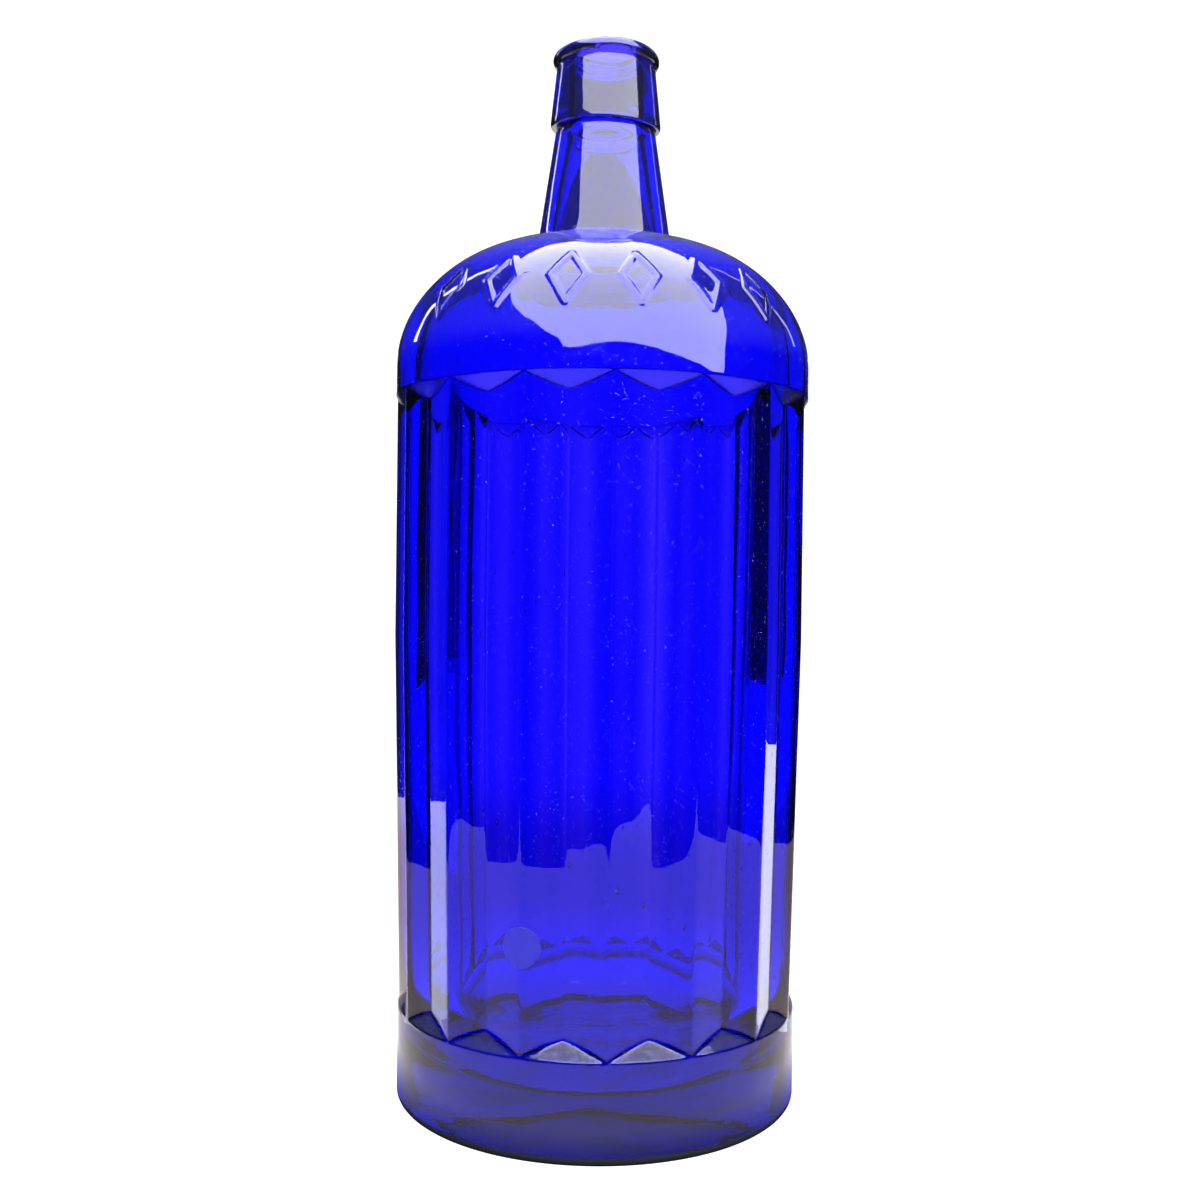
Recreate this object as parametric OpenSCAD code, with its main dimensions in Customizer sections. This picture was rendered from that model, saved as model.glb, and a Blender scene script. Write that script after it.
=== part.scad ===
// Fluted cobalt-glass chemist's bottle with an applied lip, open at the mouth.
// The axis is +Z, the foot stands on z = 0, and the marked side of the shoulder faces -Y.

/* [Body] */
// Diameter of the plain band under the dome
shoulder_d = 127; // [100:0.5:160]
// Diameter of the plain band at the foot
foot_d = 122; // [96:0.1:154]
// Height of the plain band at the foot
foot_band_h = 28; // [20:0.5:45]
// Height of the tapered part of the flutes, above the foot band
taper_h = 112; // [80:1:160]
// Height of the straight part of the flutes, above the tapered part
straight_h = 73; // [40:1:120]
// Height of the plain band under the dome
shoulder_band_h = 8; // [5:0.5:20]
// Round of the dome next to the band
shoulder_round_r = 34; // [26:0.5:40]
// Round of the dome next to the neck
dome_r = 43.5; // [41:0.5:60]
// Slope of the dome where the two rounds meet
dome_blend = 32; // [10:1:60]
// Radius of the round at the foot's outer edge
heel_r = 2.4; // [1:0.1:5]

/* [Flutes] */
// How many flutes go round the body
flute_count = 16; // [8:1:24]
// Depth of a flute from its ridges to its middle
flute_depth = 2.9; // [1.5:0.1:4]
// How far the ridges lie inside the two bands
ridge_inset = 0.2; // [0.1:0.1:1]
// Rise of the lower ledges for each millimetre that they go in
foot_ledge_rise = 2; // [1:0.1:3]
// Fall of the upper ledges for each millimetre that they go in
top_ledge_rise = 1.7; // [0.8:0.1:3]
// Turn of the first ridge from the front
flute_turn = 3; // [0:0.5:22]

/* [Glass] */
// Wall behind the middle of a flute
wall = 3.8; // [2.5:0.1:6]
// Wall of the dome and of the neck's foot
dome_wall = 4.6; // [3.6:0.1:7]
// Height of the inside's floor above the table
floor_t = 12; // [6:0.5:16]
// Round between the inside's wall and its floor, which makes the inside a bowl
inside_corner_r = 28; // [16:0.5:44]
// How far the underside is pushed up in the middle
kick_h = 2.5; // [1:0.5:4]
// Width of the flat ring that the bottle stands on
rest_ring_w = 9; // [5:0.5:14]

/* [Neck] */
// Diameter at the neck's foot
neck_foot_d = 41; // [36:0.2:48]
// Diameter where the lip begins
neck_top_d = 30.6; // [29:0.1:35]
// Height from the dome's crown to the lip's lower edge
neck_h = 37.8; // [25:0.1:60]
// Round where the neck rises from the dome
neck_fillet_r = 3; // [2:0.5:5]
// Diameter of the straight bore that takes the stopper
bore_d = 20; // [16:0.5:22]
// Length of the straight bore below the mouth's round
bore_l = 22; // [14:0.5:30]

/* [Lip] */
// Height of the lip from its lower edge to the mouth
lip_h = 23.5; // [18:0.5:32]
// Diameter of the ring at the lip's lower edge
lip_ring_d = 34.1; // [33:0.1:38]
// Diameter of the lip's wall just above that ring
lip_foot_d = 33.7; // [32:0.1:37]
// Diameter of the lip's wall under the bead
lip_top_d = 30.4; // [29:0.1:35]
// Diameter of the bead at the mouth
bead_d = 32.8; // [31:0.1:38]
// Height of the bead
bead_h = 4.4; // [3:0.1:6]
// Round inside the mouth
mouth_round = 1.2; // [0.5:0.1:2]
// Height of lip glass that stands above the neck's own end
lip_cap_h = 6; // [4:0.5:10]

/* [Marks] */
// How many raised lozenges stand on the dome
mark_count = 6; // [2:1:8]
// Angle between two lozenges
mark_step = 19; // [14:0.5:20]
// Width of a lozenge
mark_w = 12; // [7:0.5:12]
// Height of a lozenge along the dome
mark_l = 22; // [14:0.5:30]
// Slope of the dome at a lozenge's middle
mark_tilt = 32; // [20:1:50]
// Width of a lozenge's line
mark_line = 2; // [1:0.1:2.5]
// How far the line stands out
mark_relief = 0.4; // [0.3:0.1:1.2]

/* [Film dot] */
// Diameter of the clear film dot on the front
dot_d = 11.4; // [8:0.2:16]
// Thickness of its film
dot_t = 0.2; // [0.15:0.05:0.4]
// Height of its middle above the foot
dot_z = 58; // [40:0.5:90]
// Which ridge it sits on, counted from the front towards +X
dot_ridge = 15; // [1:1:15]

/* [Hidden] */
$fn = 96;
slack = 1;                       // overshoot of a cut, so that no two faces coincide
shoulder_r = shoulder_d / 2;
foot_r = foot_d / 2;
knee_z = foot_band_h + taper_h;                      // where the taper ends
flute_top_z = knee_z + straight_h;
dome_z = flute_top_z + shoulder_band_h;
blend = [cos(dome_blend), sin(dome_blend)];
shoulder_c = [shoulder_r - shoulder_round_r, dome_z];
dome_c = shoulder_c - (dome_r - shoulder_round_r) * blend;
crown_z = dome_c[1] + dome_r;                        // where the dome would turn level
neck_foot_r = neck_foot_d / 2;
neck_top_r = neck_top_d / 2;
bore_r = bore_d / 2;
lip_z = crown_z + neck_h;                            // the lip's lower edge
mouth_z = lip_z + lip_h;                             // the top of the bottle
neck_end_z = mouth_z - lip_cap_h;                    // the neck's own end, inside the lip
bore_z = mouth_z - mouth_round - bore_l;             // where the bore starts to widen

// The round at the neck's foot touches the dome below it and the neck's cone beside it
fillet_off = max(0, neck_foot_r + neck_fillet_r - dome_c[0]);
fillet_up = sqrt(pow(dome_r + neck_fillet_r, 2) - pow(fillet_off, 2));
fillet_c = [neck_foot_r + neck_fillet_r, dome_c[1] + fillet_up];
fillet_dir = [fillet_off, fillet_up] / (dome_r + neck_fillet_r);
neck_lean = atan((neck_foot_r - neck_top_r) / neck_h);
neck_touch = fillet_c - neck_fillet_r * [cos(neck_lean), sin(neck_lean)];
neck_slope = (neck_touch[0] - neck_top_r) / (lip_z - neck_touch[1]);

// The same round on the inside, one dome wall further in
inner_round_r = neck_fillet_r + dome_wall;
inner_lean = atan((neck_foot_r - dome_wall - bore_r) / (bore_z - crown_z));
inner_touch = fillet_c - inner_round_r * [cos(inner_lean), sin(inner_lean)];

ridge_top_r = shoulder_r - ridge_inset;
ridge_foot_r = foot_r - ridge_inset;
core_in = flute_depth + ridge_inset + 0.6;           // the core stays just behind the flutes
inside_top_r = ridge_top_r - flute_depth - wall;
inside_foot_r = ridge_foot_r - flute_depth - wall;
inner_dome_r = dome_r - dome_wall;
inner_reach = inside_top_r - dome_c[0];
inner_drop = dome_z - dome_c[1];
inner_shoulder_r = (pow(inner_dome_r, 2) - pow(inner_reach, 2) - pow(inner_drop, 2))
    / (2 * (inner_dome_r - inner_reach));            // touches the wall and the inner dome
inner_shoulder_c = [inside_top_r - inner_shoulder_r, dome_z];
inner_blend = atan2(inner_drop, inner_reach - inner_shoulder_r);
flute_pitch = 360 / flute_count;
glass = [0.07, 0.05, 0.85, 0.6];

// Radius of the neck's cone at a height
function neck_r(z) = neck_top_r + (lip_z - z) * neck_slope;

// Star-shaped outline: ridges at r, with a straight-sided flute between each pair
function star(r, depth) = [
    for (i = [0 : 2 * flute_count - 1])
        let (a = flute_turn - 90 + i * flute_pitch / 2, q = i % 2 == 0 ? r : r - depth)
            [q * cos(a), q * sin(a)]
];

// Sector of a circle round c, between two angles from the horizontal
module sector(c, r, low, high) {
    far = 2 * r;
    mid = (low + high) / 2;
    intersection() {
        translate(c) circle(r);
        polygon([c, c + far * [cos(low), sin(low)], c + far * [cos(mid), sin(mid)],
            c + far * [cos(high), sin(high)]]);
    }
}

// Half outline of the dome's two rounds, moved outwards by grow; the sectors overlap
module dome_outline(grow = 0) {
    sector(shoulder_c, shoulder_round_r + grow, -2, 88);
    sector(dome_c, dome_r + grow, dome_blend, 94);
}

// Half outline of the neck's cone and of the concave round at its foot
module neck_outline() {
    polygon([
        [0, dome_z - slack],
        [neck_foot_r, dome_z - slack],
        neck_touch,
        [neck_r(neck_end_z), neck_end_z],
        [0, neck_end_z]
    ]);
    polygon([[0, dome_z - slack], dome_c, [dome_c[0], crown_z], [0, crown_z]]);
    difference() {
        polygon([fillet_c - neck_fillet_r * fillet_dir, fillet_c, neck_touch, [neck_foot_r - slack, dome_z]]);
        translate(fillet_c) circle(neck_fillet_r);
    }
}

// Half outline of the body below the dome, with its core set back behind the flutes
module barrel_outline(grow = 0) {
    heel_c = [foot_r - heel_r, heel_r];
    polygon([
        [0, kick_h],
        [heel_c[0] - rest_ring_w, 0],
        [heel_c[0], 0],
        heel_c,
        [foot_r + grow, heel_r],
        [foot_r + grow, foot_band_h],
        [foot_r + grow - core_in, foot_band_h + core_in * foot_ledge_rise],
        [shoulder_r + grow - core_in, flute_top_z - core_in * top_ledge_rise],
        [shoulder_r + grow, flute_top_z],
        [shoulder_r + grow, dome_z],
        [0, dome_z]
    ]);
    sector(heel_c, heel_r + grow, -90, 0);
}

// Body with its flutes, solid through: a taper below the knee and a straight part above it
module body_solid(grow = 0) {
    top_r = ridge_top_r + grow;
    shrink = (ridge_foot_r + grow) / top_r;
    rotate_extrude() {
        barrel_outline(grow);
        dome_outline(grow);
        neck_outline();
    }
    translate([0, 0, foot_band_h])
        linear_extrude(height = taper_h, scale = 1 / shrink)
            polygon(shrink * star(top_r, flute_depth));
    translate([0, 0, knee_z])
        linear_extrude(height = straight_h)
            polygon(star(top_r, flute_depth));
}

// Half outline of the space inside, from the floor to above the mouth
module inside_outline() {
    corner_c = [inside_foot_r - inside_corner_r, floor_t + inside_corner_r];
    polygon([
        [0, floor_t],
        [corner_c[0], floor_t],
        corner_c,
        [inside_foot_r, corner_c[1]],
        [inside_top_r, knee_z],
        [inside_top_r, dome_z],
        inner_shoulder_c + [slack, slack],
        [dome_c[0], dome_c[1] + inner_dome_r],
        [0, dome_c[1] + inner_dome_r]
    ]);
    sector(corner_c, inside_corner_r, -92, 0);
    sector(inner_shoulder_c, inner_shoulder_r, -2, 88);
    sector(dome_c, inner_dome_r, inner_blend, 94);
    polygon([
        [0, dome_z - slack],
        [inner_touch[0], dome_z - slack],
        inner_touch,
        [bore_r, bore_z],
        [bore_r, mouth_z + slack],
        [0, mouth_z + slack]
    ]);
    difference() {
        polygon([fillet_c - inner_round_r * fillet_dir, fillet_c, inner_touch,
            [inner_touch[0] - slack, dome_z]]);
        translate(fillet_c) circle(inner_round_r);
    }
}

// A lozenge drawn with one line, as a prism along +Z
module lozenge() {
    diamond = [[0, mark_l / 2], [mark_w / 2, 0], [0, -mark_l / 2], [-mark_w / 2, 0]];
    inner = 1 - 2 * mark_line * sqrt(pow(mark_w, 2) + pow(mark_l, 2)) / (mark_w * mark_l);
    linear_extrude(height = 14) difference() {
        polygon(diamond);
        polygon(inner * diamond);
    }
}

// Raised lozenges in a row round the front of the dome
module marks() {
    intersection() {
        rotate_extrude() dome_outline(mark_relief);
        for (i = [0 : mark_count - 1])
            rotate([0, 0, (i - (mark_count - 1) / 2) * mark_step])
                translate([0, -shoulder_c[0], dome_z])
                    rotate([90 - mark_tilt, 0, 0])
                        translate([0, 0, shoulder_round_r - 8])
                            lozenge();
    }
}

module glass_body() {
    color(glass) difference() {
        union() {
            body_solid();
            marks();
        }
        rotate_extrude() inside_outline();
    }
}

module applied_lip() {
    bead_r = bead_h / 2;
    color(glass) rotate_extrude() difference() {
        union() {
            polygon([
                [bore_r, neck_end_z - slack],
                [neck_r(lip_z) - slack, lip_z],
                [lip_ring_d / 2 - 0.6, lip_z],
                [lip_ring_d / 2, lip_z + 0.8],
                [lip_ring_d / 2, lip_z + 1.8],
                [lip_foot_d / 2, lip_z + 3.2],
                [lip_top_d / 2, mouth_z - bead_h],
                [lip_top_d / 2, mouth_z],
                [bore_r, mouth_z]
            ]);
            translate([bead_d / 2 - bead_r, mouth_z - bead_r]) circle(bead_r);
        }
        polygon([
            [0, crown_z],
            [neck_r(crown_z), crown_z],
            [neck_r(neck_end_z), neck_end_z],
            [bore_r, neck_end_z],
            [bore_r, mouth_z - mouth_round],
            [bore_r + mouth_round, mouth_z],
            [bore_r + mouth_round, mouth_z + slack],
            [0, mouth_z + slack]
        ]);
    }
}

module film_dot() {
    color([0.6, 0.7, 0.95, 0.5]) intersection() {
        difference() {
            body_solid(grow = dot_t);
            body_solid();
        }
        rotate([0, 0, flute_turn + dot_ridge * flute_pitch])
            translate([0, 0, dot_z])
                rotate([90, 0, 0])
                    cylinder(d = dot_d, h = shoulder_d);
    }
}

glass_body();
applied_lip();
film_dot();
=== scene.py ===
# %% [markdown]
# # A cobalt-glass chemist's bottle
# The bottle is one blown vessel, a lip that was gathered on afterwards, and a blank film dot on
# its front. The imported model gives the frame: where each piece stands and how big it is. It is
# loaded first, and the boxes of two of its pieces give a few sizes.

# %% Load the frame
import math

import bmesh
import bpy
from mathutils import Matrix, Vector


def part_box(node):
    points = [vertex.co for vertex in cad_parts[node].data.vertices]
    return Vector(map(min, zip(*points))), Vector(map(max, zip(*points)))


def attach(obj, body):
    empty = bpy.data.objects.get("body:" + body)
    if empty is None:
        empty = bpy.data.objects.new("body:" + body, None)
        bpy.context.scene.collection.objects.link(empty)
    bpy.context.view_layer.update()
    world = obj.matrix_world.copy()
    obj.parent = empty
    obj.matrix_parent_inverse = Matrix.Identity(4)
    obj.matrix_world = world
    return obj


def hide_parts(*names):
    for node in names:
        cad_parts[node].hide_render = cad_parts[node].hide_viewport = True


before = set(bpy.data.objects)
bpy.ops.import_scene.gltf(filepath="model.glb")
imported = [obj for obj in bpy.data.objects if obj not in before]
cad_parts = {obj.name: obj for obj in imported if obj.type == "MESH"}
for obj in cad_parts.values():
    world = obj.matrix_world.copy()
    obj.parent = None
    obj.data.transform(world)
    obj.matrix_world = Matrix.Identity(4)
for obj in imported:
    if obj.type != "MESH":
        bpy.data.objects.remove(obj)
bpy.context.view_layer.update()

# %% [markdown]
# Sizes are metres, and a few of them drive the rest. The widest radius, the mouth's height and
# the place where the lip begins are read from the frame. The others repeat the maker's sizes:
# a foot band, a taper, a straight stretch, a shoulder band, and a dome of two rounds.

# %% Sizes of the body
MM = 0.001
body_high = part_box("glass_body")[1]
lip_low, lip_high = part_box("applied_lip")
shoulder_r = body_high[0]
mouth_z = lip_high[2]
lip_z = lip_low[2]
foot_r = 61 * MM
foot_band_z = 28 * MM
knee_z = foot_band_z + 112 * MM
flute_top_z = knee_z + 73 * MM
dome_z = flute_top_z + 8 * MM
heel_r = 2.4 * MM
print("widest radius", round(shoulder_r, 4), "mouth at", round(mouth_z, 4))

# %% Sizes of the flutes, the glass and the neck
flute_count = 16
flute_depth = 2.9 * MM
ridge_inset = 0.06 * MM
foot_ledge_rise = 2.0
top_ledge_rise = 1.7
flute_turn = math.radians(3)
wall = 3.8 * MM
dome_wall = 4.6 * MM
floor_t = 12 * MM
kick_h = 2.5 * MM
rest_ring_w = 9 * MM
shoulder_round_r = 34 * MM
dome_r = 43.5 * MM
dome_blend = math.radians(32)
neck_foot_r = 20.5 * MM
neck_top_r = 15.3 * MM
neck_fillet_r = 3 * MM
bore_r = 10 * MM
flute_pitch = 2 * math.pi / flute_count
print("one flute takes", round(math.degrees(flute_pitch), 1), "degrees")

# %% [markdown]
# The glass is a turned shape before it is a fluted one, so it starts as half an outline that is
# spun round the axis. An outline is a list of points in (radius, height). Straight stretches are
# cut into even steps, and rounds come from an arc's centre, radius and two angles, so that the
# outline keeps only the numbers that a maker would write on a drawing.

# %% Outline helpers
def stretch(start, end, steps):
    """Points from start towards end, without end itself."""
    return [tuple(Vector(start).lerp(Vector(end), i / steps)) for i in range(steps)]


def arc(centre, radius, first, last, steps):
    """Points along an arc, from its first angle to its last, both in degrees."""
    turn = math.radians(last - first) / steps
    begin = math.radians(first)
    angles = [begin + turn * i for i in range(steps + 1)]
    return [(centre[0] + radius * math.cos(a), centre[1] + radius * math.sin(a)) for a in angles]


def spun(outline, columns):
    """A bmesh made by turning an outline once round the axis."""
    bm = bmesh.new()
    points = [bm.verts.new((r, 0, z)) for r, z in outline]
    edges = [bm.edges.new(pair) for pair in zip(points, points[1:])]
    bmesh.ops.spin(bm, geom=points + edges, axis=(0, 0, 1), cent=(0, 0, 0), angle=2 * math.pi,
                   steps=columns, use_merge=True)
    bmesh.ops.remove_doubles(bm, verts=bm.verts, dist=0.002 * MM)
    bmesh.ops.recalc_face_normals(bm, faces=bm.faces)
    return bm


def piece(name, bm, material=None):
    """A smooth object from a bmesh, which is freed."""
    mesh = bpy.data.meshes.new(name)
    bm.to_mesh(mesh)
    bm.free()
    mesh.shade_smooth()
    obj = bpy.data.objects.new(name, mesh)
    bpy.context.scene.collection.objects.link(obj)
    if material:
        mesh.materials.append(material)
    print(name, len(mesh.polygons), "faces")
    return obj


# %% [markdown]
# The outside runs from the middle of the foot to the lip. The underside is pushed up a little, so
# the bottle stands on a flat ring. The dome is two rounds that share a tangent, and the neck rises
# from it through a small concave round. The rows are close together where the ledges of the
# flutes will be cut, and far apart where nothing happens.

# %% The outside's outline
shoulder_c = Vector((shoulder_r - shoulder_round_r, dome_z))
dome_c = shoulder_c - (dome_r - shoulder_round_r) * Vector((math.cos(dome_blend), math.sin(dome_blend)))
fillet_reach = dome_r + neck_fillet_r
fillet_off = neck_foot_r + neck_fillet_r - dome_c.x
fillet_c = dome_c + Vector((fillet_off, math.sqrt(fillet_reach ** 2 - fillet_off ** 2)))
fillet_angle = math.degrees(math.atan2(fillet_c.y - dome_c.y, fillet_off))
neck_lean = math.degrees(math.atan((neck_foot_r - neck_top_r) / (lip_z - fillet_c.y)))
ledge_h = 10 * MM
ring_r = foot_r - heel_r

outside = (
    stretch((0, kick_h), (ring_r - rest_ring_w, 0), 10)
    + stretch((ring_r - rest_ring_w, 0), (ring_r, 0), 4)
    + arc((ring_r, heel_r), heel_r, -90, 0, 6)
    + stretch((foot_r, 4 * MM), (foot_r, foot_band_z - 1 * MM), 4)
    + stretch((foot_r, foot_band_z - 1 * MM), (foot_r, foot_band_z + ledge_h), 24)
    + stretch((foot_r, foot_band_z + ledge_h), (shoulder_r, knee_z), 12)
    + stretch((shoulder_r, knee_z), (shoulder_r, flute_top_z - ledge_h), 6)
    + stretch((shoulder_r, flute_top_z - ledge_h), (shoulder_r, flute_top_z + 1 * MM), 24)
    + stretch((shoulder_r, flute_top_z + 1 * MM), (shoulder_r, dome_z), 3)
    + arc(shoulder_c, shoulder_round_r, 0, math.degrees(dome_blend), 16)
    + arc(dome_c, dome_r, math.degrees(dome_blend), fillet_angle, 26)[1:]
    + arc(fillet_c, neck_fillet_r, fillet_angle - 180, -180 + neck_lean, 6)[1:]
)
outside += stretch(outside[-1], (neck_top_r, lip_z), 12)[1:] + [(neck_top_r, lip_z)]
print("outside outline:", len(outside), "points")

# %% [markdown]
# The inside is smooth, because the glass was blown against the mould from within and only its
# outside touched the iron. It follows the wall, turns into the dome a wall's thickness further in
# and narrows up the neck to the bore that the stopper fits.

# %% The inside's outline
inside_r = shoulder_r - ridge_inset - flute_depth - wall
inside_foot_r = foot_r - ridge_inset - flute_depth - wall
corner_r = 28 * MM
inner_dome_r = dome_r - dome_wall
reach = inside_r - dome_c.x
drop = dome_z - dome_c.y
inner_shoulder_r = (inner_dome_r ** 2 - reach ** 2 - drop ** 2) / (2 * (inner_dome_r - reach))
inner_c = Vector((inside_r - inner_shoulder_r, dome_z))
inner_blend = math.degrees(math.atan2(drop, reach - inner_shoulder_r))
inner_round_r = neck_fillet_r + dome_wall
bore_z = mouth_z - 23.2 * MM

inside = (
    arc(fillet_c, inner_round_r, fillet_angle - 180, -170, 8)[::-1]
    + arc(dome_c, inner_dome_r, inner_blend, fillet_angle, 4)[::-1][1:]
    + arc(inner_c, inner_shoulder_r, 0, inner_blend, 22)[::-1][1:]
    + stretch((inside_r, dome_z), (inside_r, knee_z), 5)[1:]
    + stretch((inside_r, knee_z), (inside_foot_r, floor_t + corner_r), 7)
    + arc((inside_foot_r - corner_r, floor_t + corner_r), corner_r, -90, 0, 14)[::-1]
    + stretch((inside_foot_r - corner_r, floor_t), (0, floor_t), 4)[1:]
    + [(0, floor_t)]
)
inside = stretch((bore_r, min(bore_z, lip_z)), inside[0], 7) + inside
if bore_z < lip_z:
    inside = [(bore_r, lip_z)] + inside
print("inside outline:", len(inside), "points")

# %% [markdown]
# A flute is a shallow V between two ridges. Seen from above the ridges and the middles of the
# flutes make a star with straight sides, so a point's radius on a side follows from the two
# corners beside it. Where the star meets the ledge's cone the larger radius counts, and the two
# are blended over a fraction of a millimetre, as hot glass rounds every corner of its mould.

# %% Press the flutes
ridge_r = shoulder_r - ridge_inset
valley_r = ridge_r - flute_depth
half = flute_pitch / 2
ridge_blunt = 0.15 * MM
ridge_blunt_w = 0.8 * MM


def star_radius(angle):
    """Radius of the star's side at an angle, at full size."""
    a = abs((angle - flute_turn + math.pi / 2 + half) % flute_pitch - half)
    flat = ridge_r * valley_r * math.sin(half) / (ridge_r * math.sin(a) + valley_r * math.sin(half - a))
    return flat - ridge_blunt * math.exp(-a * ridge_r / ridge_blunt_w)


def larger(a, b, soft=0.15 * MM):
    """The larger of two radii, rounded where they meet."""
    return (a + b + math.sqrt((a - b) ** 2 + soft ** 2)) / 2


def fluted_radius(angle, z):
    """Outer radius of the body between the two bands."""
    taper = min(1, 1 + (foot_r - shoulder_r) / shoulder_r * (knee_z - z) / (knee_z - foot_band_z))
    low = foot_r - max(0, z - foot_band_z) / foot_ledge_rise
    high = shoulder_r - max(0, flute_top_z - z) / top_ledge_rise
    side = star_radius(angle) * taper
    pressed = larger(larger(side, low), high)
    return min(pressed, low if z <= foot_band_z else 1, high if z >= flute_top_z else 1)


def crowd(angle):
    """Moves a column towards the nearest ridge or middle, where the surface turns most."""
    u = (angle - flute_turn + math.pi / 2) / half
    return angle - 0.72 * math.sin(2 * math.pi * u) / (2 * math.pi) * half


columns = 20 * flute_count
body = spun(outside + inside, columns)
for vert in body.verts:
    r, z = math.hypot(vert.co.x, vert.co.y), vert.co.z
    if r < 1e-6:
        continue
    angle = crowd(math.atan2(vert.co.y, vert.co.x))
    if foot_band_z < z < flute_top_z and r > inside_r + 1.5 * MM:
        r = fluted_radius(angle, z)
    vert.co = (r * math.cos(angle), r * math.sin(angle), z)
print("body after pressing:", len(body.verts), "points")

# %% [markdown]
# Six raised lozenges stand on the front of the dome, where such a bottle carries its raised
# marks. Each is one rounded line of glass. The dome's faces near a line are divided until they
# are finer than the line is wide, and then the points are pushed out along the dome's normal by
# the height of a rounded bar at their distance from the line.

# %% Raise the marks
mark_count = 6
mark_step = math.radians(19)
mark_w = 12 * MM
mark_l = 22 * MM
mark_line = 2.0 * MM
mark_relief = 0.42 * MM


def on_dome(co):
    """Angle from the front and distance up the dome of a point near it, in metres along the arc."""
    r = math.hypot(co.x, co.y)
    across = math.atan2(co.x, -co.y)
    rise = math.atan2(co.z - shoulder_c.y, r - shoulder_c.x)
    if rise > dome_blend:
        rise_top = math.atan2(co.z - dome_c.y, r - dome_c.x)
        return across, r, shoulder_round_r * dome_blend + dome_r * (rise_top - dome_blend)
    return across, r, shoulder_round_r * rise


def line_distance(co):
    """Distance along the dome from a point to the middle of the nearest lozenge's line."""
    if co.z < dome_z or co.z > lip_z or co.y > 0:
        return 1
    across, r, up = on_dome(co)
    k = round(across / mark_step - 0.5) + 0.5
    k = max(-(mark_count - 1) / 2, min((mark_count - 1) / 2, k))
    x = abs(across - k * mark_step) * r
    y = abs(up - shoulder_round_r * dome_blend)
    a = (mark_w - mark_line) / 2
    b = (mark_l - 2 * mark_line) / 2
    along = max(0, min(1, (a * (a - x) + b * y) / (a * a + b * b)))
    return math.hypot(x - a * (1 - along), y - b * along)


def outside_of_dome(face):
    """Whether a face is on the outside of the dome, and not on the inner wall below it."""
    place = face.verts[0].co
    far_out = math.hypot(*face.calc_center_median().xy) > shoulder_c.x - 12 * MM
    return far_out and face.normal.z > -0.2 and face.normal.dot(Vector((place.x, place.y, 0.02))) > 0


for reach_out in (3.4 * MM, 2.2 * MM):
    near = [f for f in body.faces
            if min(line_distance(v.co) for v in f.verts) < reach_out and outside_of_dome(f)]
    edges = {e for f in near for e in f.edges}
    bmesh.ops.subdivide_edges(body, edges=list(edges), cuts=1, use_grid_fill=True)
body.normal_update()
lift = {}
for vert in body.verts:
    d = line_distance(vert.co)
    if d < mark_line and vert.normal.dot(vert.co - Vector((0, 0, dome_z))) > 0:
        lift[vert] = vert.normal * mark_relief * math.exp(-(d / (0.5 * mark_line)) ** 4)
for vert, push in lift.items():
    vert.co += push
print("points lifted for the marks:", len(lift))

# %% [markdown]
# Blown glass holds seeds, small bubbles of air that were caught in the melt. Each is a little
# closed shell that lies wholly inside the wall, with its faces turned inwards to the air, so
# light bends round it as it does round a real bubble.

# %% Seeds in the wall
def seed(bm, where, radius, stretch_up):
    """Adds one bubble, drawn out upwards as the glass was."""
    shape = Matrix.Translation(where) @ Matrix.Diagonal((1, 1, stretch_up, 1))
    made = bmesh.ops.create_icosphere(bm, subdivisions=1, radius=radius, matrix=shape)
    faces = {f for v in made["verts"] for f in v.link_faces}
    bmesh.ops.reverse_faces(bm, faces=list(faces))


seed_count = 46
golden = 0.618034
golden_angle = 2.399963
for i in range(seed_count):
    angle = i * golden_angle
    z = foot_band_z + (dome_z - foot_band_z) * ((i * golden) % 1)
    depth = inside_foot_r + 1.6 * MM if z < knee_z * 0.6 else inside_r + 1.7 * MM
    place = (depth * math.cos(angle), depth * math.sin(angle), z)
    seed(body, place, radius=(0.28 + 0.3 * ((i * 0.37) % 1)) * MM, stretch_up=1.2 + (i % 4) * 0.4)
blown_body = piece("blown_body", body)

# %% [markdown]
# The lip is a second gather of hot glass, wound round the neck's end and squeezed with a lipping
# tool. The tool leaves a plain tapered collar, a small ring at its lower edge and a bead at the
# mouth. A hand held the tool, so the lower edge slopes a little and the bead isn't quite level.

# %% The lip
lip_ring_r = 17.05 * MM
lip_foot_r = 16.85 * MM
lip_top_r = 15.2 * MM
bead_r = 16.4 * MM
bead_h = 4.4 * MM
mouth_round = 1.2 * MM
seam = 0.02 * MM
bead_c = (bead_r - bead_h / 2, mouth_z - bead_h / 2)
lip_outline = (
    [(bore_r, lip_z + seam)]
    + stretch((bore_r, lip_z + seam), (neck_top_r, lip_z + seam), 4)[1:]
    + stretch((neck_top_r, lip_z + seam), (lip_ring_r - 0.5 * MM, lip_z), 3)
    + arc((lip_ring_r - 0.7 * MM, lip_z + 0.7 * MM), 0.7 * MM, -80, 0, 5)
    + stretch((lip_ring_r, lip_z + 1.7 * MM), (lip_foot_r, lip_z + 3.2 * MM), 3)
    + stretch((lip_foot_r, lip_z + 3.2 * MM), (lip_top_r, mouth_z - bead_h - 0.4 * MM), 14)
    + arc(bead_c, bead_h / 2, -65, 90, 14)
    + stretch((bead_c[0], mouth_z), (bore_r + mouth_round, mouth_z), 4)[1:]
    + arc((bore_r + mouth_round, mouth_z - mouth_round), mouth_round, 90, 180, 6)
    + stretch((bore_r, mouth_z - mouth_round), (bore_r, lip_z + seam), 12)[1:]
    + [(bore_r, lip_z + seam)]
)
lip = spun(lip_outline, 192)
bmesh.ops.recalc_face_normals(lip, faces=lip.faces)
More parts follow.
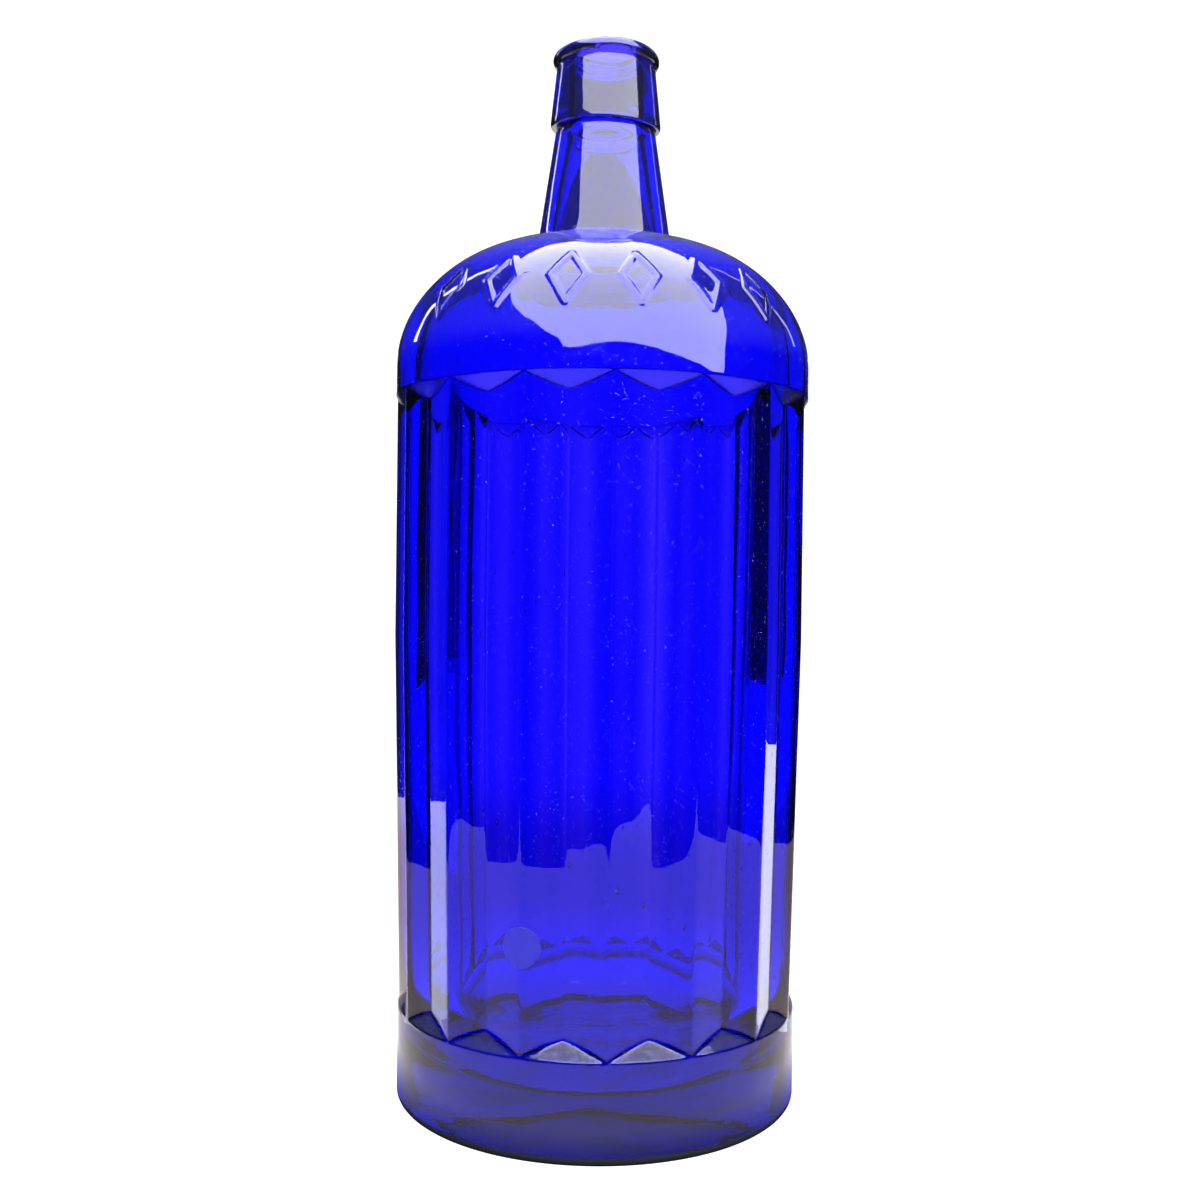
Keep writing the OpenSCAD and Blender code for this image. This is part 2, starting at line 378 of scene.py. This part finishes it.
for vert in lip.verts:
    x, y, z = vert.co
    r = math.hypot(x, y)
    low = max(0, 1 - (z - lip_z) / (6 * MM))
    high = max(0, 1 - (mouth_z - z) / (6 * MM))
    if r > neck_top_r + 0.3 * MM:
        vert.co.z += low * (1.5 * MM * y / r - 0.4 * MM * x / r)
    if r > bore_r + 0.2 * MM:
        vert.co.z -= high * 0.25 * MM * (1 + math.sin(2 * math.atan2(y, x) + 0.6))
        swell = 1 + 0.012 * math.sin(2 * math.atan2(y, x) + 0.4) * (1 - low)
        vert.co.x *= swell
        vert.co.y *= swell
tooled_lip = piece("tooled_lip", lip)

# %% [markdown]
# The film dot is a punched disc of clear film that was stuck over a ridge. It starts as a flat
# grid of points inside a circle, is wrapped onto the glass by the same radius formula that pressed
# the flutes, and gets the thickness of film.

# %% The film dot
dot_r = 5.7 * MM
dot_z = 58 * MM
dot_angle = -math.pi / 2 + flute_turn - flute_pitch
dot = bmesh.new()
bmesh.ops.create_circle(dot, cap_ends=True, segments=48, radius=dot_r)
bmesh.ops.inset_region(dot, faces=dot.faces, thickness=0.3 * MM)
for cut in range(-20, 21):
    for normal in ((1, 0, 0), (0, 1, 0)):
        bmesh.ops.bisect_plane(dot, geom=dot.verts[:] + dot.edges[:] + dot.faces[:], dist=1e-6,
                               plane_co=Vector(normal) * cut * 0.31 * MM, plane_no=normal)
for vert in dot.verts:
    across, up = vert.co.x, vert.co.y
    z = dot_z + up
    angle = dot_angle + across / foot_r
    r = (foot_r if z <= foot_band_z else fluted_radius(angle, z)) + 0.06 * MM
    vert.co = (r * math.cos(angle), r * math.sin(angle), z)
bmesh.ops.recalc_face_normals(dot, faces=dot.faces)
punched_dot = piece("punched_dot", dot)
film_wall = punched_dot.modifiers.new("film", "SOLIDIFY")
film_wall.thickness = 0.12 * MM
film_wall.offset = 1

# %% [markdown]
# Finishes are written as sums. A small class wraps a socket, so that `1 - mask` or `mask * 0.3`
# adds the Math node it needs, and one method adds any other node.

# %% A way to write finishes
class Wire:
    """A socket of a shader tree that can be used in sums."""

    def __init__(self, finish, socket):
        self.finish, self.socket = finish, socket

    def math(self, operation, *values, clamp=False):
        settings = {"operation": operation, "use_clamp": clamp}
        return self.finish.add("ShaderNodeMath", settings, dict(enumerate(values)))

    def __add__(self, other): return self.math("ADD", self, other)
    def __radd__(self, other): return self.math("ADD", other, self)
    def __sub__(self, other): return self.math("SUBTRACT", self, other)
    def __rsub__(self, other): return self.math("SUBTRACT", other, self)
    def __mul__(self, other): return self.math("MULTIPLY", self, other)
    def __rmul__(self, other): return self.math("MULTIPLY", other, self)
    def __truediv__(self, other): return self.math("DIVIDE", self, other)

    def above(self, edge, soft):
        """0 below edge, 1 above edge + soft, and a ramp between."""
        ramp = (self - edge) / soft
        return ramp.math("ADD", ramp, 0.0, clamp=True)


class Finish:
    """A material and its shader tree."""

    def __init__(self, name):
        self.material = bpy.data.materials.new(name)
        self.material.use_nodes = True
        self.tree = self.material.node_tree
        self.tree.nodes.clear()

    def add(self, kind, settings=None, sockets=None, out=0):
        """Adds a node, sets it up, feeds its sockets and returns one of its outputs."""
        node = self.tree.nodes.new(kind)
        for key, value in (settings or {}).items():
            if key == "stops":
                ramp = node.color_ramp
                for place, colour in value[len(ramp.elements):]:
                    ramp.elements.new(place)
                for stop, (place, colour) in zip(ramp.elements, value):
                    stop.position, stop.color = place, colour
            else:
                setattr(node, key, value)
        for key, value in (sockets or {}).items():
            if isinstance(value, Wire):
                self.tree.links.new(value.socket, node.inputs[key])
            else:
                node.inputs[key].default_value = value
        return Wire(self, node.outputs[out])

    def show(self, surface, volume=None):
        """Connects the finish to its output."""
        sockets = {"Surface": surface}
        if volume:
            sockets["Volume"] = volume
        node = self.tree.nodes.new("ShaderNodeOutputMaterial")
        for key, value in sockets.items():
            self.tree.links.new(value.socket, node.inputs[key])
        return self.material


# %% [markdown]
# Cobalt glass is clear: its colour is in its depth. A thin edge is bright blue, and where the eye
# looks along a wall it is nearly black. So the surface itself is colourless, and the absorption
# inside takes off most red and green over a few millimetres, and a little blue. Blown glass also
# has slow waves in its surface, fine scuffs where it was handled, and dust in its corners.

# %% Cobalt glass
def cobalt_glass(name, crown_dust, blue):
    """Glass with waves, scuffs, dust on its ledges and above a height, and painted shade at its foot.
    """
    f = Finish(name)
    place = f.add("ShaderNodeTexCoord", out="Object")
    height = f.add("ShaderNodeSeparateXYZ", sockets={0: place}, out=2)

    def grain(scale, detail=2.0, rough=0.5):
        return f.add("ShaderNodeTexNoise", {"noise_dimensions": "3D"},
                     {"Vector": place, "Scale": scale, "Detail": detail, "Roughness": rough})

    slow = grain(26, 1.0)
    streaks = f.add("ShaderNodeMapping", sockets={"Vector": place, "Scale": (70, 70, 9)})
    drawn = f.add("ShaderNodeTexNoise", sockets={"Vector": streaks, "Scale": 1.0, "Detail": 1.5})
    pits = grain(900, 2.0).above(0.66, 0.05)
    surface = slow * 0.8 + drawn * 0.35 + pits * 0.02
    waves = f.add("ShaderNodeBump", sockets={"Height": surface, "Strength": 0.55, "Distance": 1.6 * MM})

    # Scuffs, where hands and shelves rubbed the glass.
    handled = grain(60, 3.0, 0.6).above(0.56, 0.12)
    fine = grain(700, 4.0, 0.7).above(0.58, 0.1)
    scuffs = handled * fine

    # Places where dust lies: the flutes' ledges, the top of the dome, and a belt at its foot.
    facing = f.add("ShaderNodeTexCoord", out="Normal")
    upward = f.add("ShaderNodeSeparateXYZ", sockets={0: facing}, out=2)
    foot_ledges = (1 - height.above(40 * MM, 5 * MM)) * height.above(26 * MM, 1 * MM)
    top_ledges = height.above(200 * MM, 2 * MM) * (1 - height.above(214 * MM, 1 * MM))
    ledge = upward.above(0.36, 0.1) * foot_ledges
    under = (0 - upward).above(0.2, 0.15) * top_ledges
    crown = height.above(crown_dust, 12 * MM) * upward.above(0.5, 0.4)
    belt = height.above(219 * MM, 3 * MM) * (1 - height.above(225 * MM, 4 * MM))
    patches = grain(55, 4.0, 0.65).above(0.45, 0.2)
    specks = grain(1500, 2.0, 0.6).above(0.69, 0.04)
    film = grain(420, 5.0, 0.75).above(0.35, 0.35)
    dome = height.above(221 * MM, 6 * MM)
    dust = specks * (0.1 + 0.4 * belt * patches) + crown * (0.03 + 0.06 * film) + dome * 0.01

    # Painted shade: a dark line round the heel, where the bottle stands on the table, and a darkened
    # base that dims the light in the thick foot.
    flat = f.add("ShaderNodeVectorMath", {"operation": "MULTIPLY"}, {0: place, 1: (1, 1, 0)})
    from_axis = f.add("ShaderNodeVectorMath", {"operation": "LENGTH"}, {0: flat}, out=1)
    outer = from_axis.above(foot_r - 3 * MM, 0.6 * MM)
    heel_shade = (1 - height.above(2.4 * MM, 0.8 * MM)) * outer
    base_shade = (1 - height.above(3.2 * MM, 0.5 * MM)) * (1 - outer) * (0.3 + 0.3 * patches)
    ledge_dust = ledge * (0.62 + 0.36 * film)

    # Dust is pale on the dome and dark on the ledges; the foot is darker still, with painted shade.
    pale = f.add("ShaderNodeMix", {"data_type": "RGBA"}, {
        0: ledge.above(0.0, 0.1), 6: (0.42, 0.42, 0.46, 1), 7: (0.02, 0.02, 0.055, 1)}, out=2)
    dust_and_shade_colour = f.add("ShaderNodeMix", {"data_type": "RGBA"}, {
        0: (heel_shade + base_shade).above(0.0, 0.1), 6: pale, 7: (0.014, 0.016, 0.013, 1)}, out=2)
    dust_and_shade_cover = dust.math("MAXIMUM", dust + ledge_dust + base_shade, heel_shade)

    rough = scuffs * 0.22 + ledge * film * 0.22 + under * 0.22 + 0.012
    glass = f.add("ShaderNodeBsdfPrincipled", sockets={
        "Base Color": (1, 1, 1, 1), "Roughness": rough, "IOR": 1.52,
        "Transmission Weight": 1.0, "Normal": waves})
    # The powder coat carries the dust, and the painted shade at the heel and under the base.
    dust_and_shade_coat = f.add("ShaderNodeBsdfPrincipled", sockets={
        "Base Color": dust_and_shade_colour, "Roughness": 0.9, "Specular IOR Level": 0.0})
    both = f.add("ShaderNodeMixShader", sockets={0: dust_and_shade_cover, 1: glass, 2: dust_and_shade_coat})
    depth = f.add("ShaderNodeVolumeAbsorption", sockets={
        "Color": (0.165, 0.0, blue, 1), "Density": 583.0})
    return f.show(both, depth)


blown_body.data.materials.append(cobalt_glass("cobalt_body", 0.244, 0.983))
tooled_lip.data.materials.append(cobalt_glass("cobalt_lip", 0.33, 0.93))
print("glass on", blown_body.name, "and", tooled_lip.name)

# %% [markdown]
# The dot is clear film with a soft sheen. It takes the hard reflections off the glass under it, so
# it shows as a disc of slightly clearer blue.

# %% Film
film = Finish("clear_film")
film_place = film.add("ShaderNodeTexCoord", out="Object")
film_grain = film.add("ShaderNodeTexNoise", sockets={
    "Vector": film_place, "Scale": 1400.0, "Detail": 3.0})
punched_dot.data.materials.append(film.show(film.add("ShaderNodeBsdfPrincipled", sockets={
    "Base Color": (0.8, 0.98, 1, 1), "Roughness": film_grain * 0.3 + 0.25, "IOR": 1.3,
    "Transmission Weight": 1.0})))
print("film:", film.material.name)

# %% [markdown]
# Every piece rides on the one body, and takes the place of a node in the frame, which is hidden.

# %% Join the pieces to the frame
for made, node, slot in (
    (blown_body, "glass_body", "body_glass"),
    (tooled_lip, "applied_lip", "lip_glass"),
    (punched_dot, "film_dot", "dot_film"),
):
    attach(made, "root")
    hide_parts(node)

# %% [markdown]
# The bottle is lit as glass is: the light comes from behind, so its outline is drawn by its own
# thick edges. The room is white all round. The table is a sheet of painted light that ends a little
# in front of the bottle and further off at its sides. Only the glass sees it: it gives the foot its
# pale reflections, and a painted shadow, tinted by painted blue light, lies where the bottle stands.

# %% Table and backdrop
world = bpy.data.worlds.new("white_room")
bpy.context.scene.world = world
world.use_nodes = True
world.node_tree.nodes["Background"].inputs["Color"].default_value = (1, 1, 1, 1)
world.node_tree.nodes["Background"].inputs["Strength"].default_value = 1.3


def only_for(obj, *rays):
    """Lets only these kinds of ray meet an object."""
    for ray in ("camera", "diffuse", "glossy", "transmission", "shadow", "volume_scatter"):
        setattr(obj, "visible_" + ray, ray in rays)


table_left, table_right = -0.37, 0.43
table_front, table_back = -0.39, 4
table_middle = ((table_right + table_left) / 2, (table_back + table_front) / 2, -0.05 * MM)
table = bmesh.new()
bmesh.ops.create_grid(table, x_segments=1, y_segments=1, size=0.5)
bmesh.ops.scale(table, vec=(table_right - table_left, table_back - table_front, 1), verts=table.verts)
bmesh.ops.translate(table, vec=table_middle, verts=table.verts)
tabletop = piece("tabletop", table)
painted_table = Finish("painted_table_light")
painted_table_place = painted_table.add("ShaderNodeTexCoord", out="Object")
from_foot = painted_table.add("ShaderNodeVectorMath", {"operation": "LENGTH"}, {0: painted_table_place}, out=1)
# The ramp is painted light: a painted shadow with a little painted blue light under the bottle, bright
# round its foot, and a painted fall-off of the soft light further off.
glow = painted_table.add("ShaderNodeValToRGB", {"stops": [
    (0.062, (0.02, 0.02, 0.7, 1)), (0.085, (0.95, 0.87, 0.95, 1)), (0.25, (0.6, 0.44, 0.46, 1)),
    (0.42, (0.6, 0.44, 0.46, 1)), (0.75, (1, 1, 1, 1))]}, {"Fac": from_foot})
tabletop.data.materials.append(painted_table.show(painted_table.add("ShaderNodeBsdfPrincipled", sockets={
    "Base Color": (0.04, 0.04, 0.04, 1), "Roughness": 0.9, "Specular IOR Level": 0.0,
    "Emission Color": glow, "Emission Strength": 1.3})))
only_for(tabletop, "diffuse", "glossy", "transmission")

# %% [markdown]
# The dark studio is a dome that only reflections see. A window is cut in it behind the bottle,
# where the white backdrop shows. Two dark cards curve from beside the window round to the front.
# Studios that light glass call them flags: light that the bottle's sides bend outwards
# meets them, so the sides are drawn with dark lines.

# %% Dark studio and flags
studio_r = 3.0
window_half = math.radians(18)
window_top = 0.75
flag_from, flag_to = math.radians(50), math.radians(179)
flag_r = flag_h = 1.6
black = Finish("studio_black")
black.show(black.add("ShaderNodeBsdfPrincipled", sockets={
    "Base Color": (0.01, 0.01, 0.012, 1), "Roughness": 1.0, "Specular IOR Level": 0.0}))
room = spun([(0, -0.6), (studio_r, -0.6)] + arc((0, 0), studio_r, 0, 90, 12)[:-1] + [(0, studio_r)], 72)
window = [face for face in room.faces
          if abs(math.atan2(face.calc_center_median().x, face.calc_center_median().y)) < window_half
          and face.calc_center_median().z < window_top]
bmesh.ops.delete(room, geom=window, context="FACES")
dark_studio = piece("dark_studio", room, black.material)
only_for(dark_studio, "glossy")

for side, name in ((-1, "flag_left"), (1, "flag_right")):
    card = bmesh.new()
    foot = card.verts.new((0, flag_r, 0))
    top = card.verts.new((0, flag_r, flag_h))
    edge = card.edges.new((foot, top))
    turn = Matrix.Rotation(-side * flag_from, 3, "Z")
    bmesh.ops.rotate(card, verts=card.verts, cent=(0, 0, 0), matrix=turn)
    bmesh.ops.spin(card, geom=[foot, top, edge], axis=(0, 0, 1), cent=(0, 0, 0),
                   angle=-side * (flag_to - flag_from), steps=24)
    flag = piece(name, card, black.material)
    only_for(flag, "glossy", "transmission")

# %% [markdown]
# One large soft light hangs over and in front of the bottle, a little to the right. Its diffuser is
# a curved white sheet, wider at the top, and the glass shows it as the pale shapes on the collar,
# the neck and the dome. Two tall white strips behind the bottle give the thin white lines inside
# its outline, and two strips on the table give the streaks beside its foot. A dark hood hangs
# over the backdrop, so that the neck and the dome are seen against less light than the body.

# %% Soft light, strips and hood
studio_centre = Vector((0, 0, 0.2))


def glowing(name, bm, strength, *rays):
    """Turns a bmesh into a stage object that gives off white light, for these kinds of ray."""
    glow = Finish(name)
    glow.show(glow.add("ShaderNodeEmission", sockets={"Color": (1, 1, 1, 1), "Strength": strength}))
    obj = piece(name, bm, glow.material)
    only_for(obj, *rays)


def towards(azimuth, elevation):
    """Unit vector at an azimuth, which runs from the front towards +X, and an elevation, in degrees."""
    azimuth, elevation = math.radians(azimuth), math.radians(elevation)
    level = math.cos(elevation)
    return Vector((math.sin(azimuth) * level, -math.cos(azimuth) * level, math.sin(elevation)))


def curved_sheet(radius, low, high, left, right):
    """Part of a sphere round the bottle between two elevations. Its sides are azimuths at the lower
    and at the upper edge, all in degrees."""
    sheet = bmesh.new()
    bmesh.ops.create_grid(sheet, x_segments=24, y_segments=16, size=0.5)
    for vert in sheet.verts:
        u, v = vert.co.x + 0.5, vert.co.y + 0.5
        first = left[0] + (left[1] - left[0]) * min(1, v * 1.8)
        last = right[0] + (right[1] - right[0]) * min(1, v * 1.8)
        vert.co = studio_centre + radius * towards(first + (last - first) * u, low + (high - low) * v)
    return sheet


def table_strip(start, azimuth, length, first_width, last_width):
    """A strip on the table that runs from a point in the direction of an azimuth."""
    along = towards(azimuth, 0)
    across = Vector((-along.y, along.x, 0)) / 2
    near, far = Vector(start), Vector(start) + along * length
    strip = bmesh.new()
    strip.faces.new([strip.verts.new(co) for co in (
        near + across * first_width, near - across * first_width,
        far - across * last_width, far + across * last_width)])
    return strip


glowing("diffuser", curved_sheet(1.4, 10.5, 118, (-20, -95), (66, 90)), 8.0, "glossy")
glowing("strip_left", curved_sheet(1.5, 16, 55, (-128, -128), (-124, -124)), 8.0, "glossy")
glowing("strip_right", curved_sheet(1.5, 16, 55, (128, 128), (130, 130)), 2.5, "glossy")
glowing("streak_left", table_strip((-0.12, 0.02, 0.001), -130.5, 0.42, 0.05, 0.16), 2.2, "glossy")
glowing("streak_right", table_strip((0.11, 0.03, 0.001), 140, 0.79, 0.03, 0.12), 2.6, "glossy")
glowing("hood", curved_sheet(1.0, 17.5, 24, (130, 130), (230, 230)), 0.2, "transmission")

lamp = bpy.data.lights.new("soft_box", "AREA")
lamp.shape = "RECTANGLE"
lamp.size, lamp.size_y = 2.0, 1.5
lamp.energy = 85
soft_box = bpy.data.objects.new("soft_box", lamp)
away = towards(18, 50)
soft_box.location = studio_centre + away * 1.3
soft_box.rotation_euler = away.to_track_quat("Z", "Y").to_euler()
bpy.context.scene.collection.objects.link(soft_box)
only_for(soft_box, "diffuse", "shadow")
print("soft box at", [round(v, 2) for v in soft_box.location])

# %% [markdown]
# The camera looks at the bottle from the front, half way up, and nearly level. It is turned by a
# fraction of a degree, as a camera held in a hand is.

# %% Camera
camera_data = bpy.data.cameras.new("camera")
camera_data.sensor_width = 36
camera_data.lens = 39.94
camera = bpy.data.objects.new("camera", camera_data)
tilt = Matrix.Rotation(math.radians(90) - 0.005, 4, "X")
roll = Matrix.Rotation(math.radians(0.68), 4, "Z")
camera.matrix_world = Matrix.Translation((0, -0.4148, 0.1535)) @ tilt @ roll
camera_data.clip_start = 0.01
bpy.context.scene.collection.objects.link(camera)
bpy.context.scene.camera = camera
bpy.context.scene.view_settings.view_transform = "Standard"
print("camera at", [round(v, 3) for v in camera.location])

# %% [markdown]
# Last, the view layer is updated.

# %% Finish
bpy.context.view_layer.update()
